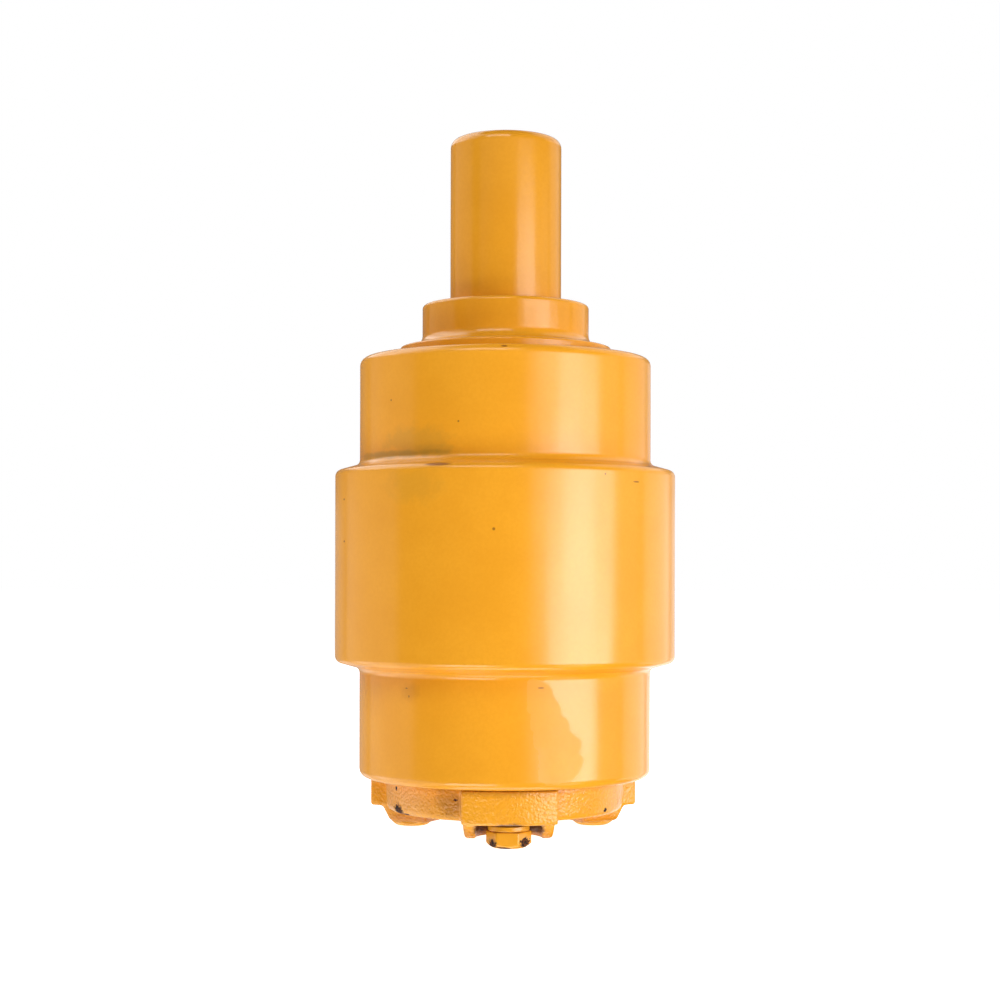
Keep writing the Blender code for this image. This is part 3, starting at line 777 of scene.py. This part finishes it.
def metal(name, colour, roughness, lines=0.0, grain=0.0):
    """Bare metal with turning marks around Z or a fine grain."""
    n = Nodes(name)
    shade = n.ramp(n.noise(6, 4, seed=1), 0.3, 0.7, 0.82, 1.08)
    base = n.mix(shade, (0, 0, 0, 1), (*colour, 1))
    rough = n.math("ADD", roughness - 0.05, n.math("MULTIPLY", n.noise(2.5, 3, seed=2), 0.1))
    parts = n.add("ShaderNodeSeparateXYZ", {0: n.place})
    radius = n.math(
        "SQRT",
        n.math(
            "ADD", n.math("POWER", parts.outputs[0], 2.0), n.math("POWER", parts.outputs[1], 2.0)
        ),
    )
    along = n.math("ADD", radius, parts.outputs[2])
    turned_marks = n.add(
        "ShaderNodeTexNoise", {"W": along, "Scale": 1 / (0.35 * MM), "Detail": 2.0}, noise_dimensions="1D"
    ).outputs["Fac"]
    height = n.math("MULTIPLY", turned_marks, 0.01 * lines)
    height = n.math("ADD", height, n.math("MULTIPLY", n.noise(0.6, 3, seed=5), 0.01 * grain))
    bump = n.add("ShaderNodeBump", {"Strength": 1.0, "Distance": MM, "Height": height})
    n.set(Base_Color=base, Roughness=rough, Normal=bump.outputs[0])
    n.shader.inputs["Metallic"].default_value = 1.0
    return n.material


def rubber(name):
    """Dull black rubber with a faint grain."""
    n = Nodes(name)
    shade = n.mix(n.ramp(n.noise(5, 3), 0.3, 0.7), (0.018, 0.018, 0.019, 1), (0.03, 0.03, 0.031, 1))
    rough = n.ramp(n.noise(3, 3, seed=4), 0.3, 0.7, 0.55, 0.72)
    bump = n.add(
        "ShaderNodeBump",
        {"Strength": 1.0, "Distance": MM, "Height": n.math("MULTIPLY", n.noise(0.5, 2), 0.01)},
    )
    n.set(Base_Color=shade, Roughness=rough, Normal=bump.outputs[0])
    return n.material


def dress(obj, material):
    obj.data.materials.clear()
    obj.data.materials.append(material)
    return obj


def stand_for(obj, node, body, material):
    """A new piece takes a CAD node's place, on its body and material."""
    dress(obj, material)
    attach(obj, body)
    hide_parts(node)
    return obj


# ---------------------------------------------------------------- where the marks and the painted shade are
SHELL_SMUDGES = [
    (side(TREAD_R, -40, 173), (22, 22, 7.5), 0.30, OLIVE),
    # a darker olive streak along the foot of the upper tread, on its side towards -X
    (side(TREAD_R, -50, 167.5), (36, 36, 2.1), 0.58, OLIVE),
    (side(TREAD_R, -30, 169), (14, 14, 3), 0.30, OLIVE),
    (side(FLANGE_R, -32, 153), (17, 17, 9), 0.18, OLIVE),
    (side(TREAD_R, -40, 66), (6, 6, 5), 0.15, RUST),
]
SHELL_SPECKS = [
    (side(FLANGE_R, -5.7, 135), (0.7, 0.7, 0.7)),
    (side(TREAD_R, -50.7, 190.8), (0.5, 0.5, 0.5)),
    (side(TREAD_R, -19.7, 180.4), (0.5, 0.5, 0.5)),
    (side(FLANGE_R, 31, 158.4), (0.5, 0.5, 0.5)),
    (side(FLANGE_R, 44.5, 155.6), (2.2, 2.2, 0.4)),
    (side(FLANGE_R, -68.8, 148.6), (1.0, 1.0, 0.5)),
    (side(FLANGE_R, -68.6, 130.3), (1.0, 1.0, 0.5)),
    (side(64, -2.7, 211.7), (1.6, 1.6, 0.6)),
    # a darker dash along the flange's upper edge
    (side(75.8, -24, 162), (6.5, 6.5, 0.8)),
    (side(TREAD_R, 11.2, 68.7), (1.6, 1.6, 0.4)),
    (side(TREAD_R, -41.8, 67.6), (0.7, 0.7, 0.3)),
    (side(TREAD_R, -40.6, 64.2), (0.4, 0.4, 0.6)),
]
SHELL_DULL = [
    (side(TREAD_R, 16.5, 36.5), (15, 15, 9), 0.48),
    (side(TREAD_R, 16, 43.5), (14, 14, 9), 0.48),
    (side(TREAD_R, 13.2, 51), (12, 12, 9), 0.48),
    (side(TREAD_R, 11.3, 58), (10, 10, 9), 0.48),
    (side(TREAD_R, 9.2, 65), (8, 8, 8), 0.48),
]
COVER_CHIPS = [
    (side(53.8, -64, 12.2), (4.3, 4.3, 3.0)),
    (side(53.4, -57.5, 10.8), (3.6, 3.6, 0.9)),
    (side(53.8, 54, 13.2), (1.5, 1.5, 1.2)),
    (side(53.8, 66, 12.0), (1.1, 1.1, 0.6)),
    (side(53.9, -64, 22), (0.8, 0.8, 0.9)),
    (side(53.9, -25, 20), (1.0, 1.0, 0.6)),
]
# smudges on the cover, and painted shade under the shell's rim and at the pads' feet
COVER_SMUDGES_AND_SHADE = [
    (side(54, -27, 18), (9, 9, 8), 0.32, GRIME_AND_SHADE),
    # painted shade, with a fringe of dirt, along the cover's top under the shell's rim
    (side(54, 0, 26.5), (80, 80, 5), 0.32, GRIME_AND_SHADE),
    # painted shade: the lowest part of the cover, the pads' feet, is darkened
    ((0, 0, 4), (90, 90, 5.5), 0.75, PAD_FOOT_PAINTED_SHADE),
]
# grime and painted shade in the recess of each bolt pocket
POCKET_GRIME_AND_SHADE = [(around(BOLT_CIRCLE, angle, 8), (15.4, 15.4, 6.5)) for angle in BOLT_ANGLES]
HEAD = Vector((0, -BOLT_CIRCLE, 0))
BOLT_CHIPS = [
    (HEAD + Vector((-8.0, -5.4, 2.0)), (3.4, 3.8, 2.3)),
    (HEAD + Vector((7.4, -6.0, 2.4)), (3.6, 3.8, 2.6)),
    (HEAD + Vector((-3.5, -7.6, 0.3)), (4.0, 2.2, 0.7)),
]

# ================================================================ building
gold = enamel("gold_enamel")
# The shaft's and the collar's enamel is darkened as painted shade, for the less light that reaches them
# above the shell.
shaft_paint_with_painted_shade = enamel("shaft_enamel_with_painted_shade", roughness=0.16, shade=0.88)
stand_for(make_shaft(), "shaft", "shaft", shaft_paint_with_painted_shade)
collar_paint_with_painted_shade = enamel("collar_enamel_with_painted_shade", roughness=0.16, shade=0.93)
stand_for(make_collar(), "seal_collar", "shaft", collar_paint_with_painted_shade)
stand_for(make_lock_pin(), "collar_lock_pin", "shaft", gold)
shell_paint = enamel(
    "shell_enamel",
    roughness=0.20,
    smudges_and_shade=SHELL_SMUDGES,
    specks=SHELL_SPECKS,
    dull=SHELL_DULL,
)
stand_for(make_shell(), "roller_shell", "roller", shell_paint)
# The cover's enamel carries painted shade in the bolt pockets, under the shell's rim and at the pads'
# feet.
cover_paint_with_painted_shade = enamel(
    "cover_enamel_with_painted_shade",
    roughness=0.23,
    pebble=0.2,
    chips=COVER_CHIPS,
    smudges_and_shade=COVER_SMUDGES_AND_SHADE,
    grime_and_shade=POCKET_GRIME_AND_SHADE,
)
stand_for(make_cover(), "cover", "roller", cover_paint_with_painted_shade)
stand_for(make_oil_plug(), "oil_plug", "roller", gold)
copper = metal("copper", (0.78, 0.36, 0.20), 0.3, lines=1)
stand_for(make_gasket(), "plug_gasket", "roller", copper)

bolt_paint = enamel("bolt_enamel", roughness=0.26, chips=BOLT_CHIPS)
for number, angle in enumerate(BOLT_ANGLES, 1):
    bolt = make_bolt(f"visual_cover_bolt_{number}", BOLT_LENGTH)
    moved(bolt, around(BOLT_CIRCLE, angle), angle + BOLT_TURN)
    stand_for(bolt, f"cover_bolt_{number}", "roller", bolt_paint)
    washer = make_spring_washer(f"visual_cover_washer_{number}")
    moved(washer, around(BOLT_CIRCLE, angle, WASHER_Z), angle + WASHER_TURN)
    stand_for(washer, f"cover_washer_{number}", "roller", gold)

black_steel = metal("oiled_black_steel", (0.06, 0.06, 0.065), 0.4, grain=1)
for number, angle in enumerate(RETAINER_ANGLES, 1):
    bolt = make_bolt(f"visual_retainer_bolt_{number}", RETAINER_LENGTH)
    moved(bolt, around(RETAINER_CIRCLE, angle, RETAINER_HEAD_Z), angle)
    stand_for(bolt, f"retainer_bolt_{number}", "shaft", black_steel)
    washer = make_spring_washer(f"visual_retainer_washer_{number}")
    moved(washer, around(RETAINER_CIRCLE, angle, RETAINER_HEAD_Z + WASHER_Z), angle + WASHER_TURN)
    stand_for(washer, f"retainer_washer_{number}", "shaft", black_steel)

dress(nodes["retainer_plate"], metal("turned_steel", (0.52, 0.52, 0.54), 0.3, lines=1))
bronze = metal("turned_bronze", (0.68, 0.44, 0.18), 0.3, lines=1)
lapped = metal("lapped_iron", (0.42, 0.42, 0.44), 0.18, lines=0.3)
black_rubber = rubber("nitrile")
for node in ("upper_bush", "lower_bush"):
    dress(nodes[node], bronze)
for node in ("fixed_seal_ring", "turning_seal_ring"):
    dress(nodes[node], lapped)
for node in ("fixed_seal_toric", "turning_seal_toric", "collar_o_ring", "cover_o_ring"):
    dress(nodes[node], black_rubber)


# ================================================================ the studio
def lamp(name, width, height, glow, place, target):
    """A flat light, in millimetres, that looks at a target. glow is its radiance."""
    data = bpy.data.lights.new(name, "AREA")
    data.shape = "RECTANGLE"
    data.size, data.size_y = width * MM, height * MM
    data.energy = math.pi * data.size * data.size_y * glow
    obj = bpy.data.objects.new(name, data)
    bpy.context.scene.collection.objects.link(obj)
    obj.location = Vector(place) * MM
    obj.rotation_mode = "QUATERNION"
    obj.rotation_quaternion = (Vector(target) - Vector(place)).to_track_quat("-Z", "Y")
    obj.visible_camera = False


def wall(name, azimuth, angle, low, high, glow, behind=0):
    """An upright light between two heights, of an azimuth and a width in degrees from the camera.
    Lights that overlap stand one behind another, since Cycles skips one that lies in another."""
    middle, distance = (low + high) / 2, WALL_DISTANCE + behind
    width = 2 * distance * math.tan(math.radians(angle / 2))
    place = side(distance, CAMERA_AZIMUTH + azimuth, middle)
    lamp(name, width, high - low, glow, place, (0, 0, middle))


def box(name, azimuth, elevation, width, height, glow):
    """A light that looks at the object's middle from an azimuth and an elevation."""
    e = math.radians(elevation)
    x, y, _ = side(BOX_DISTANCE * math.cos(e), CAMERA_AZIMUTH + azimuth, 0)
    place = (x, y, BOX_TARGET_Z + BOX_DISTANCE * math.sin(e))
    lamp(name, width, height, glow, place, (0, 0, BOX_TARGET_Z))


def studio():
    """The camera sees white behind everything, and the pieces get a faint light from all round."""
    world = bpy.data.worlds.new("studio")
    bpy.context.scene.world = world
    world.use_nodes = True
    tree = world.node_tree
    tree.nodes.clear()
    add, link = tree.nodes.new, tree.links.new
    surroundings = add("ShaderNodeBackground")
    surroundings.inputs["Strength"].default_value = SURROUNDING_GLOW
    backdrop = add("ShaderNodeBackground")
    backdrop.inputs["Color"].default_value = (1, 1, 1, 1)
    rays = add("ShaderNodeLightPath")
    choose = add("ShaderNodeMixShader")
    link(rays.outputs["Is Camera Ray"], choose.inputs[0])
    link(surroundings.outputs[0], choose.inputs[1])
    link(backdrop.outputs[0], choose.inputs[2])
    out = add("ShaderNodeOutputWorld")
    link(choose.outputs[0], out.inputs[0])


def make_floor():
    """A pale floor that can be seen through from below. It takes no part in the lighting."""
    corners = [(-1, -1), (1, -1), (1, 1), (-1, 1)]
    points = [(x * FLOOR_HALF, y * FLOOR_HALF, FLOOR_Z) for x, y in corners]
    floor = new_piece("floor", points, [[0, 1, 2, 3]])
    n = Nodes("pale_floor")
    tree = n.tree
    diffuse = n.add("ShaderNodeBsdfDiffuse", {"Color": (0.85, 0.85, 0.85, 1)})
    glow = n.add("ShaderNodeEmission", {"Color": (1, 1, 1, 1), "Strength": FLOOR_GLOW})
    both = n.add("ShaderNodeAddShader", {0: diffuse.outputs[0], 1: glow.outputs[0]})
    clear = n.add("ShaderNodeBsdfTransparent")
    back = n.add("ShaderNodeNewGeometry").outputs["Backfacing"]
    choose = n.add("ShaderNodeMixShader", {0: back, 1: both.outputs[0], 2: clear.outputs[0]})
    tree.links.new(choose.outputs[0], tree.nodes["Material Output"].inputs["Surface"])
    dress(floor, n.material)
    floor.visible_diffuse = floor.visible_glossy = floor.visible_shadow = False


studio()
make_floor()
# The key is a tall soft box on the right, in layers: brightest along its middle and at its foot,
# and dimmer towards its top.
wall("key_halo", 47, 60, -260, 545, 0.95, behind=40)
wall("key_halo_middle", 47, 60, 60, 250, 0.85, behind=30)
wall("key", 51, 48, -260, 250, 3.0, behind=20)
wall("key_foot", 50, 44, -260, 60, 3.6, behind=10)
wall("key_core", 48, 22, 60, 250, 3.8)
wall("key_upper", 58, 34, 250, 385, 3.9)
wall("key_top", 43, 38, 385, 545, 3.3)
# Dimmer walls close the front's upper part, both sides and the back.
wall("high_front", 0, 110, 575, 900, 0.28)
wall("right_edge", 88, 20, -260, 560, 0.7)
wall("right_wall_low", 122, 38, -700, 240, 1.25)
wall("right_wall_high", 122, 38, 240, 900, 0.65)
wall("back_right", 160, 24, -700, 0, 0.95)
wall("back_right_high", 160, 24, 0, 400, 0.5)
wall("left_wall_low", -102, 56, -700, 200, 0.65)
wall("left_wall_high", -102, 56, 200, 900, 0.4)
wall("back_wall_low", 180, 90, -700, 200, 0.35, behind=20)
wall("back_wall_high", 180, 90, 200, 900, 0.15, behind=20)
# Boxes from below and from above light the undersides, the roundings and the flat faces.
box("low_left", -90, -38, 1500, 1100, 1.05)
box("low_left_back", -125, -38, 1100, 900, 0.6)
box("low_front", -28, -38, 800, 500, 5.2)
box("low_right", 50, -38, 560, 500, 1.8)
box("top_left", -90, 45, 1100, 900, 1.2)
box("top_left_back", -125, 45, 1400, 1000, 1.7)
box("top_front", -18, 45, 900, 500, 3.6)
box("top_right_back", 125, 45, 1400, 1000, 0.9)
box("under", 0, -89, 900, 900, 3.0)
box("back_top", 180, 45, 1800, 1000, 0.25)
box("back_low", 180, -38, 1800, 1000, 0.45)

bpy.context.scene.view_settings.view_transform = "Standard"
bpy.context.scene.view_settings.look = "None"

camera = bpy.data.objects.new("camera", bpy.data.cameras.new("camera"))
bpy.context.scene.collection.objects.link(camera)
camera.data.sensor_width = SENSOR
camera.data.lens = LENS
camera.data.shift_x, camera.data.shift_y = CAMERA_SHIFT
camera.data.clip_start = 0.01
camera.matrix_world = (
    Matrix.Translation(Vector(side(AXIS_DISTANCE, CAMERA_AZIMUTH, CAMERA_Z)) * MM)
    @ Matrix.Rotation(math.radians(CAMERA_AZIMUTH), 4, "Z")
    @ Matrix.Rotation(math.pi / 2, 4, "X")
    @ Matrix.Rotation(math.radians(CAMERA_ROLL), 4, "Z")
)
bpy.context.scene.camera = camera
